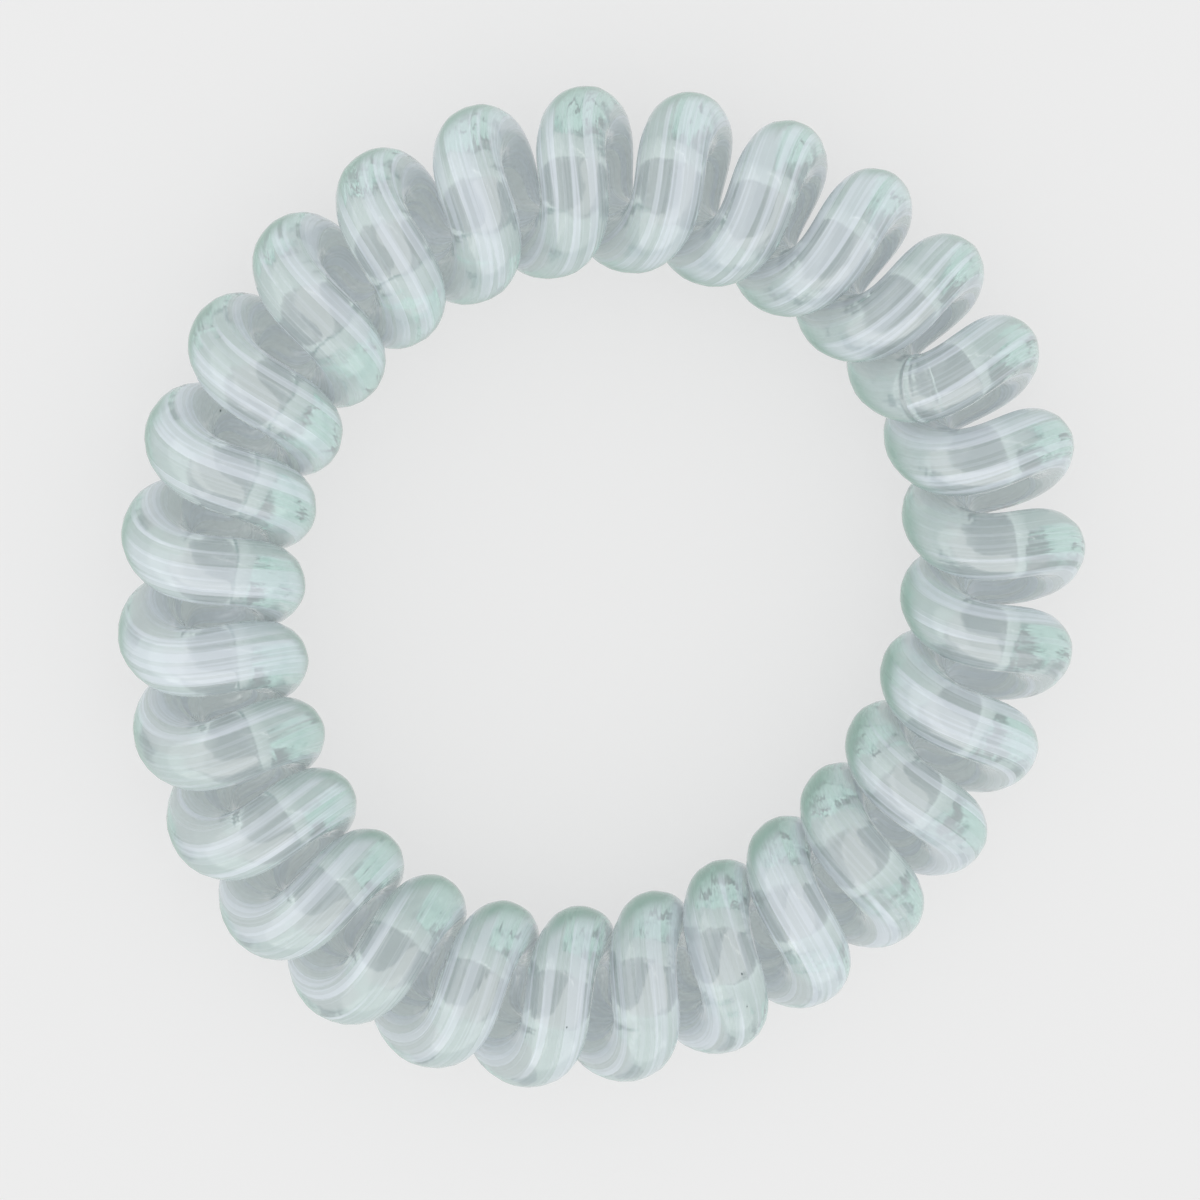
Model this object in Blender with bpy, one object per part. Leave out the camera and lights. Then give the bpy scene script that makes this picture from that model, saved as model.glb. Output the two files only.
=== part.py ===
"""Spiral hair tie: one clear strand, coiled and welded end to end into a ring that lies flat."""

import math

import bmesh
import bpy
from mathutils import Vector

# Driving sizes, in metres
RING_DIAMETER = 0.0550
COIL_DIAMETER = 0.0102
STRAND_DIAMETER = 0.00375
TURN_GAP = 0.00003
BEAD_WIDTH = 0.0006
BEAD_HEIGHT = 0.00006

# A turn advances most at its outer and inner ends, and its top lags behind its bottom.
# Both are shares of the even advance of one radian of the turn.
END_ADVANCE = 0.5
TOP_LAG = 0.1

# The coil is at this point of its turn where it crosses the +X axis, in degrees.
START_ANGLE = 259.0

# The two cut ends meet this many turns on from the outermost point of the first turn.
WELD_TURNS = 3.375

# The ring isn't quite round: order, rise as a share of its radius, bearing of a crest in degrees
OUTLINE_WAVES = (
    (2, 0.033, 64.0),
    (3, 0.015, 12.0),
)

# The turns aren't quite even: order, shift along the ring and bearing of the most shift, in degrees
SPACING_WAVES = (
    (1, 1.00, -29.0),
    (2, 0.89, -75.0),
    (3, 0.34, -44.0),
    (4, 0.14, -19.0),
)

# How finely the strand is cut into flat faces
SECTIONS_PER_TURN = 16
SECTION_SIDES = 8
BEARING_SAMPLES = 360
FEWEST_TURNS = 3

# Clear polyurethane with a faint green tint
STRAND_COLOUR = (0.74, 0.86, 0.82, 1.0)
STRAND_ROUGHNESS = 0.08
STRAND_TRANSMISSION = 0.9
STRAND_IOR = 1.49

DIRECTION_STEP = 0.01
FULL_TURN = 2 * math.pi
UP = Vector((0, 0, 1))
RING_RADIUS = (RING_DIAMETER - COIL_DIAMETER) / 2
TURN_RADIUS = (COIL_DIAMETER - STRAND_DIAMETER) / 2
STRAND_RADIUS = STRAND_DIAMETER / 2


def clear_scene():
    for item in list(bpy.data.objects):
        bpy.data.objects.remove(item, do_unlink=True)


def wave_sum(waves, bearing):
    """Sum of the waves of a table at a bearing in radians."""
    return sum(size * math.cos(order * (bearing - math.radians(crest))) for order, size, crest in waves)


def ring_radius(bearing):
    """Distance from the ring's axis to the middle of the coil."""
    return RING_RADIUS * (1 + wave_sum(OUTLINE_WAVES, bearing))


def spacing_shift(bearing):
    """How far the turns are shifted back along the ring, in radians."""
    return math.radians(wave_sum(SPACING_WAVES, bearing))


def inner_distance(turns, step):
    """Distance between the middles of two neighbouring strands on the ring's inner side."""
    start = step * FULL_TURN / BEARING_SAMPLES
    end = start + FULL_TURN / turns
    inner_radius = ring_radius(start) - TURN_RADIUS
    pitch = inner_radius * (end - start + spacing_shift(start) - spacing_shift(end))
    advance = inner_radius * (1 + 2 * END_ADVANCE + TOP_LAG) / turns
    return pitch * math.cos(math.atan2(advance, TURN_RADIUS))


def turn_count():
    """The most turns that lie side by side on the inner side with the gap between them."""
    turns = FEWEST_TURNS
    room = STRAND_DIAMETER + TURN_GAP
    while min(inner_distance(turns + 1, step) for step in range(BEARING_SAMPLES)) > room:
        turns += 1
    return turns


def strand_point(turns, angle):
    """A point of the strand's middle line, and the way from the coil's middle to it."""
    even = (angle - math.radians(START_ANGLE)) / turns
    bend = END_ADVANCE * math.sin(2 * angle) - TOP_LAG * math.sin(angle)
    bearing = even - spacing_shift(even) + bend / turns
    ring_out = Vector((math.cos(bearing), math.sin(bearing), 0))
    coil_out = ring_out * math.cos(angle) + UP * math.sin(angle)
    return ring_out * ring_radius(even) + coil_out * TURN_RADIUS, coil_out


def section_points(turns, angle, radius):
    """The corners of one section, square to the strand."""
    middle, coil_out = strand_point(turns, angle)
    ahead, _ = strand_point(turns, angle + DIRECTION_STEP)
    behind, _ = strand_point(turns, angle - DIRECTION_STEP)
    along = ahead - behind
    side = along.cross(coil_out).normalized()
    out = side.cross(along).normalized()
    corners = [FULL_TURN * corner / SECTION_SIDES for corner in range(SECTION_SIDES)]
    return [middle + radius * (out * math.cos(corner) + side * math.sin(corner)) for corner in corners]


def section_places(turns):
    """Turn angle and strand radius of each section, with a low bead where the cut ends are welded."""
    weld = WELD_TURNS * FULL_TURN
    flank = BEAD_WIDTH / 2 / TURN_RADIUS
    angles = [FULL_TURN * step / SECTIONS_PER_TURN for step in range(turns * SECTIONS_PER_TURN)]
    plain = [(angle, STRAND_RADIUS) for angle in angles if abs(angle - weld) > 2 * flank]
    bead = [(weld - flank, STRAND_RADIUS), (weld, STRAND_RADIUS + BEAD_HEIGHT), (weld + flank, STRAND_RADIUS)]
    return sorted(plain + bead)


def lay_on_floor(mesh):
    """Puts the mesh's box on the XY plane, centred on the Z axis."""
    lows = [min(vert.co[axis] for vert in mesh.verts) for axis in range(3)]
    highs = [max(vert.co[axis] for vert in mesh.verts) for axis in range(3)]
    shift = Vector((-(lows[0] + highs[0]) / 2, -(lows[1] + highs[1]) / 2, -lows[2]))
    bmesh.ops.translate(mesh, verts=mesh.verts, vec=shift)


def strand_material():
    material = bpy.data.materials.new("clear_green_polyurethane")
    material.use_nodes = True
    surface = material.node_tree.nodes["Principled BSDF"]
    surface.inputs["Base Color"].default_value = STRAND_COLOUR
    surface.inputs["Roughness"].default_value = STRAND_ROUGHNESS
    surface.inputs["Metallic"].default_value = 0.0
    surface.inputs["Transmission Weight"].default_value = STRAND_TRANSMISSION
    surface.inputs["IOR"].default_value = STRAND_IOR
    return material


def build_coil_strand():
    """The whole tie: a closed tube that winds round the ring and meets its own start."""
    turns = turn_count()
    mesh = bmesh.new()
    rings = [
        [mesh.verts.new(point) for point in section_points(turns, angle, radius)]
        for angle, radius in section_places(turns)
    ]
    for ring, following in zip(rings, rings[1:] + rings[:1]):
        for corner in range(SECTION_SIDES):
            beside = (corner + 1) % SECTION_SIDES
            mesh.faces.new((ring[corner], following[corner], following[beside], ring[beside]))
    bmesh.ops.recalc_face_normals(mesh, faces=mesh.faces)
    lay_on_floor(mesh)
    data = bpy.data.meshes.new("coil_strand")
    mesh.to_mesh(data)
    mesh.free()
    data.shade_smooth()
    data.materials.append(strand_material())
    strand = bpy.data.objects.new("coil_strand", data)
    bpy.context.scene.collection.objects.link(strand)
    return strand


clear_scene()
build_coil_strand()
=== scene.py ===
"""The spiral hair tie as it looks: one clear mint strand, coiled, welded and lying on a pale floor."""

import math

import bpy
import numpy as np
from mathutils import Matrix, Vector


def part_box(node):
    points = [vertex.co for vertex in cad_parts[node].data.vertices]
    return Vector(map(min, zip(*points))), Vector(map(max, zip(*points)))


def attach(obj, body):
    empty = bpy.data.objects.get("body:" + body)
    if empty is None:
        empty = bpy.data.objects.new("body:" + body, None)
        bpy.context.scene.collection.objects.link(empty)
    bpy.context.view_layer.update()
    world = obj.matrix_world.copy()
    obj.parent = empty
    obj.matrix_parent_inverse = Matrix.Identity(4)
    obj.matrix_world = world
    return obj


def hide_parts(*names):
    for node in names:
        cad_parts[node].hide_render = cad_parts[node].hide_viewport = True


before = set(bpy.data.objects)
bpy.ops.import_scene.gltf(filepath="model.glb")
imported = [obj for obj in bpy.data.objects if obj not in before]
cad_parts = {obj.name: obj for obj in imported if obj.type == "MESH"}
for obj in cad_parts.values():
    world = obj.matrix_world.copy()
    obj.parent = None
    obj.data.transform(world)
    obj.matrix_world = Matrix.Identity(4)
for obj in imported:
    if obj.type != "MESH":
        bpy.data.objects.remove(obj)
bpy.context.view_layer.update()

FULL_TURN = 2 * math.pi
UP = np.array([0.0, 0.0, 1.0])
BLACK = (0.0, 0.0, 0.0, 1.0)
WHITE = (1.0, 1.0, 1.0, 1.0)

# The strand's driving sizes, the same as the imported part's, in metres
TURNS = 28
RING_DIAMETER = 0.0550
COIL_DIAMETER = 0.0102
STRAND_DIAMETER = 0.00375
START_ANGLE = math.radians(259.0)
WELD_ANGLE = 3.375 * FULL_TURN

# A turn advances most at its outer and inner ends, and its top lags behind its bottom.
# Both are shares of the even advance of one radian of the turn.
END_ADVANCE = 0.5
TOP_LAG = 0.1

# The ring isn't quite round: order, rise as a share of its radius, bearing of a crest in degrees
OUTLINE_WAVES = (
    (2, 0.033, 64.0),
    (3, 0.015, 12.0),
)

# The turns aren't quite even: order, shift along the ring and bearing of the most shift, in degrees
SPACING_WAVES = (
    (1, 1.00, -29.0),
    (2, 0.89, -75.0),
    (3, 0.34, -44.0),
    (4, 0.14, -19.0),
)

RING_RADIUS = (RING_DIAMETER - COIL_DIAMETER) / 2
TURN_RADIUS = (COIL_DIAMETER - STRAND_DIAMETER) / 2
STRAND_RADIUS = STRAND_DIAMETER / 2
STRAND_LENGTH = TURNS * FULL_TURN * TURN_RADIUS

# How finely the strand is drawn
SECTIONS_PER_TURN = 40
SECTION_SIDES = 64
DIRECTION_STEP = 0.01

# The weld: a low bead between two faint grooves, with finer sections on both sides and a pale line on top
WELD_WIDTH = 0.00028
WELD_HEIGHT = 0.00005
WELD_SECTIONS = 24
WELD_REACH = 0.0012
WELD_LINE = 0.00003
WELD_MILK = 0.25

# Flow lines of the extrusion: lines round the strand, height in metres, turns they drift in the whole length
FLOW_LINES = (
    (5, 0.000010, 2),
    (8, 0.000008, -3),
    (13, 0.000005, 4),
)

# The clear body
PLASTIC_IOR = 1.40
WALL_TINT = (0.84, 0.85, 0.86, 1.0)
BODY_COLOUR = (0.52, 0.82, 0.73, 1.0)
BODY_DENSITY = 75.0
# Painted glow: the wall gives off this light each time a ray meets it from inside. It stands in for light
# that the slightly cloudy body would scatter, and it lifts the dark patches where light is trapped in the
# coil.
PAINTED_INNER_GLOW = (0.055, 0.050, 0.054, 1.0)

# Milky streaks and finer threads along the strand. The stretch is along the strand, in lines a metre,
# and round it. The edges are the noise values between which a line turns from dark to pale.
STREAK_STRETCH = (60.0, 2.8, 2.8)
STREAK_EDGES = (0.48, 0.55)
STREAK_SHARE = 0.7
THREAD_STRETCH = (120.0, 9.0, 9.0)
THREAD_EDGES = (0.46, 0.62)
THREAD_SHARE = 0.3
THREAD_HEIGHT = 0.00001
DARK_STREAK = (0.47, 0.53, 0.54, 1.0)
PALE_STREAK = (0.71, 0.77, 0.83, 1.0)
MILK_LEAST = 0.50
MILK_MOST = 0.75
MILK_ROUGHNESS = 0.12

# Right after the weld the strand is plainer, up to this length and with this share of its streaks
PLAIN_REACH = 0.006
PLAIN_SHARE = 0.25

# Painted shade: a darker mint, with more milk, is painted where the strand turns over the coil's outer and
# inner sides and faces sideways. It stands in for the darker tinted edges that long paths through the clear
# body give. Round the strand, the painted shade starts and is full at these cosines of the way from the
# coil's middle. It is full and has ended at these heights of the surface's normal.
PAINTED_MINT_EDGE_SHADE = (0.30, 0.46, 0.40, 1.0)
PAINTED_EDGE_SHADE_MILK = 0.36
PAINTED_EDGE_SHADE_ROUND = (0.4, 0.95)
PAINTED_EDGE_SHADE_RISE = (0.15, 0.55)

# Dark grains in the strand: turns on from the weld, way round the strand in degrees, radius in metres
GRAINS = (
    (9.528, -146.0, 0.000090),
    (19.884, 14.0, 0.000060),
    (19.823, 7.0, 0.000050),
    (17.863, 10.0, 0.000050),
)
GRAIN_CORE = 0.6
GRAIN_COLOUR = (0.10, 0.13, 0.13, 1.0)

# The floor, a matt sheet of white acrylic that is partly lit from within
FLOOR_HALF = 1.5
FLOOR_DROP = 0.00002
FLOOR_COLOUR = (0.25, 0.25, 0.25, 1.0)
FLOOR_ROUGHNESS = 0.9
FLOOR_SHINE = 0.1
FLOOR_GLOW = 0.60

# The camera as fitted to the photo: tilt and bearing of the view in radians, distances and offsets in metres
VIEW_TILT = 0.2266
VIEW_BEARING = 2.3928
VIEW_DISTANCE = 0.2091
VIEW_RIGHT = -0.00051
VIEW_UP = -0.00038
VIEW_CLOSEST = 0.01

# The lens and its sensor, in millimetres
VIEW_LENS = 113.2
SENSOR_WIDTH = 36.0

# The sky's brightness at its middle, how far it falls from there, and the bearing that it falls towards
SKY_LEVEL = 0.975
SKY_FALL = 0.075
SKY_DIM_BEARING = math.radians(45.0)

# Soft boxes: name, bearing in degrees, distance, height of the middle, width and height in metres, brightness
SOFT_BOXES = (
    ("left_wall", 180.0, 1.0, 0.62, 3.00, 1.16, 1.5),
    ("lower_wall", 270.0, 1.0, 0.62, 2.00, 1.16, 1.4),
)

# The narrow lamp that gives the small highlights: name, bearing and rise in degrees, distance, width and
# height in metres, brightness
STRIP_LAMP = ("strip_lamp", 60.0, 48.0, 1.0, 1.00, 0.03, 6.0)

# How often light may bounce. Clear coils need many, or the light is lost inside them and leaves dark patches.
CLEAR_BOUNCES = 7
MATT_BOUNCES = 2


def wave_sum(waves, bearing):
    """Sum of the waves of a table at bearings in radians."""
    return sum(size * np.cos(order * (bearing - math.radians(crest))) for order, size, crest in waves)


def strand_line(angles):
    """Points of the strand's middle line, and the ways from the coil's middle to them."""
    even = (angles - START_ANGLE) / TURNS
    bend = END_ADVANCE * np.sin(2 * angles) - TOP_LAG * np.sin(angles)
    bearing = even - np.radians(wave_sum(SPACING_WAVES, even)) + bend / TURNS
    ring_out = np.stack([np.cos(bearing), np.sin(bearing), np.zeros_like(bearing)], axis=1)
    coil_out = ring_out * np.cos(angles)[:, None] + UP * np.sin(angles)[:, None]
    reach = RING_RADIUS * (1 + wave_sum(OUTLINE_WAVES, even))
    return ring_out * reach[:, None] + coil_out * TURN_RADIUS, coil_out


def unit(vectors):
    return vectors / np.linalg.norm(vectors, axis=1, keepdims=True)


def section_angles():
    """Turn angles of all sections, starting at the weld, closer together on both sides of it."""
    even = np.arange(TURNS * SECTIONS_PER_TURN) / SECTIONS_PER_TURN * FULL_TURN
    reach = WELD_REACH / TURN_RADIUS
    far = even[(even > reach) & (even < TURNS * FULL_TURN - reach)]
    near = np.linspace(0, reach, WELD_SECTIONS, endpoint=False)
    before = TURNS * FULL_TURN - near[:0:-1]
    return WELD_ANGLE + np.concatenate([near, [reach], far, [TURNS * FULL_TURN - reach], before])


def strand_radii(angles, corners):
    """The strand's radius at each corner of each section, with the weld's bead and the flow lines."""
    turned = angles - WELD_ANGLE
    to_weld = np.minimum(turned, TURNS * FULL_TURN - turned) * TURN_RADIUS
    bead = WELD_HEIGHT * np.cos(math.pi * to_weld / WELD_WIDTH) * np.exp(-((to_weld / WELD_WIDTH) ** 2))
    radii = STRAND_RADIUS + bead[:, None] + np.zeros(len(corners))
    for lines, height, drift in FLOW_LINES:
        radii = radii + height * np.cos(lines * corners + (drift * turned / TURNS)[:, None])
    return radii


def strand_corners(angles, corners):
    """The strand's surface points, one row for each section."""
    middles, coil_out = strand_line(angles)
    along = strand_line(angles + DIRECTION_STEP)[0] - strand_line(angles - DIRECTION_STEP)[0]
    side = unit(np.cross(along, coil_out))
    out = unit(np.cross(side, along))
    spokes = out[:, None] * np.cos(corners)[None, :, None] + side[:, None] * np.sin(corners)[None, :, None]
    return middles[:, None] + strand_radii(angles, corners)[:, :, None] * spokes


def shift_to_packed(points):
    """The way from the points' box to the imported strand's: the same middle, and the same lowest height."""
    low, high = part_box("coil_strand")
    middle = (points.min(axis=0) + points.max(axis=0)) / 2
    lowest = points[:, 2].min()
    return np.array([(low.x + high.x) / 2 - middle[0], (low.y + high.y) / 2 - middle[1], low.z - lowest])


def strand_faces(rows):
    """The corners of each face, round the strand and along it, with the last section joined to the first."""
    row, side = np.meshgrid(np.arange(rows), np.arange(SECTION_SIDES), indexing="ij")
    ahead = (row + 1) % rows
    beside = (side + 1) % SECTION_SIDES
    steps = ((row, side), (row, beside), (ahead, beside), (ahead, side))
    return np.stack([place * SECTION_SIDES + corner for place, corner in steps], axis=2).reshape(-1, 4)


def run_of_faces(rows, lengths):
    """Corner values for the finish: length from the weld, and the cosine and sine round the strand."""
    row, side = np.meshgrid(np.arange(rows), np.arange(SECTION_SIDES), indexing="ij")
    values = []
    for ahead, beside in ((0, 0), (0, 1), (1, 1), (1, 0)):
        corner = FULL_TURN * (side + beside) / SECTION_SIDES
        values.append(np.stack([lengths[row + ahead], np.cos(corner), np.sin(corner)], axis=2))
    return np.stack(values, axis=2).reshape(-1, 3)


def note_run(mesh, angles):
    """Stores where each face corner lies along and round the strand."""
    lengths = np.append(angles - WELD_ANGLE, TURNS * FULL_TURN) * TURN_RADIUS
    run = mesh.attributes.new("strand_run", "FLOAT_VECTOR", "CORNER")
    run.data.foreach_set("vector", run_of_faces(len(angles), lengths).astype(np.float32).ravel())


def note_rise(mesh):
    """Stores how far the surface faces straight up or down at each point, from 0 to 1."""
    facing = np.empty(len(mesh.vertices) * 3, np.float32)
    mesh.vertex_normals.foreach_get("vector", facing)
    rise = mesh.attributes.new("strand_rise", "FLOAT", "POINT")
    rise.data.foreach_set("value", np.abs(facing.reshape(-1, 3)[:, 2]))


class Reading:
    """A socket that gives a value. Sums and products of readings add Math nodes."""

    def __init__(self, nodes, socket):
        self.nodes = nodes
        self.socket = socket

    def math(self, operation, *terms):
        return self.nodes.node("ShaderNodeMath", {"operation": operation}, dict(enumerate(terms)))

    def __add__(self, other):
        return self.math("ADD", self, other)

    def __radd__(self, other):
        return self.math("ADD", other, self)

    def __sub__(self, other):
        return self.math("SUBTRACT", self, other)

    def __rsub__(self, other):
        return self.math("SUBTRACT", other, self)

    def __mul__(self, other):
        return self.math("MULTIPLY", self, other)

    def __rmul__(self, other):
        return self.math("MULTIPLY", other, self)

    def lower_of(self, other):
        return self.math("MINIMUM", self, other)

    def within(self, low, high):
        """0 below low, 1 above high, smooth between them."""
        sockets = {"Value": self, "From Min": low, "From Max": high}
        return self.nodes.node("ShaderNodeMapRange", {"interpolation_type": "SMOOTHSTEP"}, sockets)


class Nodes:
    """The nodes of a material or of the sky, and the one way in which they are added."""

    def __init__(self, owner):
        owner.use_nodes = True
        self.tree = owner.node_tree
        self.tree.nodes.clear()

    def node(self, kind, settings=None, sockets=None, output=0):
        made = self.tree.nodes.new(kind)
        for key, value in (settings or {}).items():
            setattr(made, key, value)
        for key, value in (sockets or {}).items():
            if isinstance(value, Reading):
                self.tree.links.new(value.socket, made.inputs[key])
            else:
                made.inputs[key].default_value = value
        return Reading(self, made.outputs[output]) if len(made.outputs) else None

    def mixed(self, share, first, second):
        """A colour between two colours. The colour sockets of a Mix node are its sixth and seventh."""
        return self.node("ShaderNodeMix", {"data_type": "RGBA"}, {0: share, 6: first, 7: second}, output=2)


def stretched_noise(nodes, run, stretch):
    drawn = nodes.node("ShaderNodeVectorMath", {"operation": "MULTIPLY"}, {0: run, 1: stretch})
    return nodes.node("ShaderNodeTexNoise", None, {"Vector": drawn, "Scale": 1.0, "Detail": 0.0})


def grain_mask(nodes, run):
    """1 in the dark grains, 0 outside them."""
    size = (1.0, STRAND_RADIUS, STRAND_RADIUS)
    place = nodes.node("ShaderNodeVectorMath", {"operation": "MULTIPLY"}, {0: run, 1: size})
    outside = 1.0
    for turns, way, radius in GRAINS:
        turn = math.radians(way)
        along = turns * FULL_TURN * TURN_RADIUS
        spot = (along, math.cos(turn) * STRAND_RADIUS, math.sin(turn) * STRAND_RADIUS)
        sockets = {0: place, 1: spot}
        apart = nodes.node("ShaderNodeVectorMath", {"operation": "DISTANCE"}, sockets, output="Value")
        outside = outside * apart.within(GRAIN_CORE * radius, radius)
    return 1 - outside


def weld_mask(length):
    """1 on the weld's pale line, 0 away from it."""
    to_weld = length.lower_of(STRAND_LENGTH - length)
    return 1 - to_weld.within(WELD_LINE, 2 * WELD_LINE)


def clear_strand_finish():
    """Clear soft plastic with a faint mint body, milky flow lines along the strand, a pale weld, a painted
    darker mint shade on the coil's outer and inner sides and a painted glow inside the wall.
    """
    material = bpy.data.materials.new("clear_mint_strand")
    nodes = Nodes(material)
    run = nodes.node("ShaderNodeAttribute", {"attribute_name": "strand_run"}, output="Vector")
    rise = nodes.node("ShaderNodeAttribute", {"attribute_name": "strand_rise"}, output="Fac")
    inside = nodes.node("ShaderNodeNewGeometry", output="Backfacing")
    length = nodes.node("ShaderNodeSeparateXYZ", None, {"Vector": run}, output="X")
    outward = nodes.node("ShaderNodeSeparateXYZ", None, {"Vector": run}, output="Y")
    # Painted shade: 1 where the strand faces sideways on the coil's outer and inner sides, where a darker
    # mint is painted
    side = outward.within(*PAINTED_EDGE_SHADE_ROUND) * (1 - rise.within(*PAINTED_EDGE_SHADE_RISE))
    streaks = stretched_noise(nodes, run, STREAK_STRETCH)
    threads = stretched_noise(nodes, run, THREAD_STRETCH)
    grains = grain_mask(nodes, run)
    lined = PLAIN_SHARE + (1 - PLAIN_SHARE) * length.within(0.5 * PLAIN_REACH, PLAIN_REACH)
    lines = streaks.within(*STREAK_EDGES) * STREAK_SHARE + threads.within(*THREAD_EDGES) * THREAD_SHARE
    pale = lines * lined
    milk = MILK_LEAST + (MILK_MOST - MILK_LEAST) * pale
    haze = milk + WELD_MILK * weld_mask(length) + PAINTED_EDGE_SHADE_MILK * side + grains
    shade = nodes.mixed(pale, DARK_STREAK, PALE_STREAK)
    # Painted darker mint shade on the coil's outer and inner sides
    shade = nodes.mixed(side, shade, PAINTED_MINT_EDGE_SHADE)
    shade = nodes.mixed(grains, shade, GRAIN_COLOUR)
    relief = {"Height": threads, "Strength": 1.0, "Distance": THREAD_HEIGHT}
    bump = nodes.node("ShaderNodeBump", None, relief, output="Normal")
    clear = nodes.node("ShaderNodeBsdfPrincipled", None, {
        "Base Color": WALL_TINT,
        "Roughness": 0.0,
        "IOR": PLASTIC_IOR,
        "Transmission Weight": 1.0,
        # Painted glow, given off only from the wall's inside
        "Emission Color": nodes.mixed(inside, BLACK, PAINTED_INNER_GLOW),
        "Emission Strength": 1.0,
        "Normal": bump,
    })
    milky = nodes.node("ShaderNodeBsdfPrincipled", None, {
        "Base Color": shade,
        "Roughness": MILK_ROUGHNESS,
        "IOR": PLASTIC_IOR,
        "Normal": bump,
    })
    surface = nodes.node("ShaderNodeMixShader", None, {"Fac": haze * (1 - inside), 1: clear, 2: milky})
    body = nodes.node("ShaderNodeVolumeAbsorption", None, {"Color": BODY_COLOUR, "Density": BODY_DENSITY})
    nodes.node("ShaderNodeOutputMaterial", None, {"Surface": surface, "Volume": body})
    material.cycles.emission_sampling = "NONE"
    return material


def build_strand():
    """The whole strand at its fine shape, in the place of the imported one."""
    angles = section_angles()
    corners = FULL_TURN * np.arange(SECTION_SIDES) / SECTION_SIDES
    points = strand_corners(angles, corners).reshape(-1, 3)
    points += shift_to_packed(points)
    mesh = bpy.data.meshes.new("clear_strand")
    mesh.from_pydata(points.tolist(), [], strand_faces(len(angles)).tolist())
    note_run(mesh, angles)
    mesh.update()
    mesh.shade_smooth()
    note_rise(mesh)
    mesh.materials.append(clear_strand_finish())
    strand = bpy.data.objects.new("clear_strand", mesh)
    bpy.context.scene.collection.objects.link(strand)
    return strand


def floor_finish():
    material = bpy.data.materials.new("pale_floor")
    nodes = Nodes(material)
    surface = nodes.node("ShaderNodeBsdfPrincipled", None, {
        "Base Color": FLOOR_COLOUR,
        "Roughness": FLOOR_ROUGHNESS,
        "Specular IOR Level": FLOOR_SHINE,
        "Emission Color": WHITE,
        "Emission Strength": FLOOR_GLOW,
    })
    nodes.node("ShaderNodeOutputMaterial", None, {"Surface": surface})
    material.cycles.emission_sampling = "NONE"
    return material


def build_floor():
    mesh = bpy.data.meshes.new("floor")
    ways = ((-1, -1), (1, -1), (1, 1), (-1, 1))
    mesh.from_pydata([(x * FLOOR_HALF, y * FLOOR_HALF, -FLOOR_DROP) for x, y in ways], [], [(0, 1, 2, 3)])
    mesh.materials.append(floor_finish())
    floor = bpy.data.objects.new("floor", mesh)
    bpy.context.scene.collection.objects.link(floor)


def build_sky():
    """Even studio light that falls off towards one side of the room."""
    world = bpy.data.worlds.new("studio")
    nodes = Nodes(world)
    dim_way = (math.cos(SKY_DIM_BEARING), math.sin(SKY_DIM_BEARING), 0.0)
    way = nodes.node("ShaderNodeTexCoord", output="Generated")
    sockets = {0: way, 1: dim_way}
    lean = nodes.node("ShaderNodeVectorMath", {"operation": "DOT_PRODUCT"}, sockets, output="Value")
    strength = SKY_LEVEL - SKY_FALL * lean
    light = nodes.node("ShaderNodeBackground", None, {"Color": WHITE, "Strength": strength})
    nodes.node("ShaderNodeOutputWorld", None, {"Surface": light})
    world.cycles.sampling_method = "NONE"
    bpy.context.scene.world = world


def direction(bearing, rise):
    """The direction at a bearing and a rise in degrees."""
    turn = math.radians(bearing)
    lift = math.radians(rise)
    return Vector((math.cos(turn) * math.cos(lift), math.sin(turn) * math.cos(lift), math.sin(lift)))


def place_lamp(name, width, tall, brightness, place, facing):
    """A flat soft lamp that shines on the strand's gloss but leaves the floor evenly lit."""
    data = bpy.data.lights.new(name, "AREA")
    data.shape = "RECTANGLE"
    data.size = width
    data.size_y = tall
    data.energy = brightness * math.pi * width * tall
    lamp = bpy.data.objects.new(name, data)
    lamp.location = place
    lamp.rotation_euler = facing.to_track_quat("-Z", "Y").to_euler()
    lamp.visible_diffuse = False
    lamp.visible_transmission = False
    bpy.context.scene.collection.objects.link(lamp)


def build_lights(ring_middle):
    for name, bearing, distance, middle, width, tall, brightness in SOFT_BOXES:
        away = direction(bearing, 0.0)
        place_lamp(name, width, tall, brightness, away * distance + Vector((0.0, 0.0, middle)), -away)
    name, bearing, rise, distance, width, tall, brightness = STRIP_LAMP
    away = direction(bearing, rise)
    place_lamp(name, width, tall, brightness, ring_middle + away * distance, -away)


def build_camera(ring_middle):
    """The camera at the photo's angle, with +Y towards the top of the picture."""
    flat = math.sin(VIEW_TILT)
    away = Vector((flat * math.cos(VIEW_BEARING), flat * math.sin(VIEW_BEARING), math.cos(VIEW_TILT)))
    tilt = Vector((0, 0, 1)).rotation_difference(away)
    right = tilt @ Vector((1, 0, 0))
    up = tilt @ Vector((0, 1, 0))
    data = bpy.data.cameras.new("camera")
    data.sensor_width = SENSOR_WIDTH
    data.lens = VIEW_LENS
    data.clip_start = VIEW_CLOSEST
    camera = bpy.data.objects.new("camera", data)
    camera.matrix_world = Matrix((right, up, away)).transposed().to_4x4()
    camera.location = ring_middle + away * VIEW_DISTANCE + right * VIEW_RIGHT + up * VIEW_UP
    bpy.context.scene.collection.objects.link(camera)
    bpy.context.scene.camera = camera


def set_light_paths():
    """How light is followed. The lamps are few and soft, so they are picked evenly, which is quicker."""
    cycles = bpy.context.scene.cycles
    cycles.use_light_tree = False
    cycles.max_bounces = CLEAR_BOUNCES
    cycles.transmission_bounces = CLEAR_BOUNCES
    cycles.glossy_bounces = CLEAR_BOUNCES
    cycles.diffuse_bounces = MATT_BOUNCES
    bpy.context.scene.view_settings.view_transform = "Standard"


low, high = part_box("coil_strand")
ring_middle = (low + high) / 2
strand = build_strand()
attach(strand, "root")
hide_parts("coil_strand")
build_floor()
build_sky()
build_lights(ring_middle)
build_camera(ring_middle)
set_light_paths()
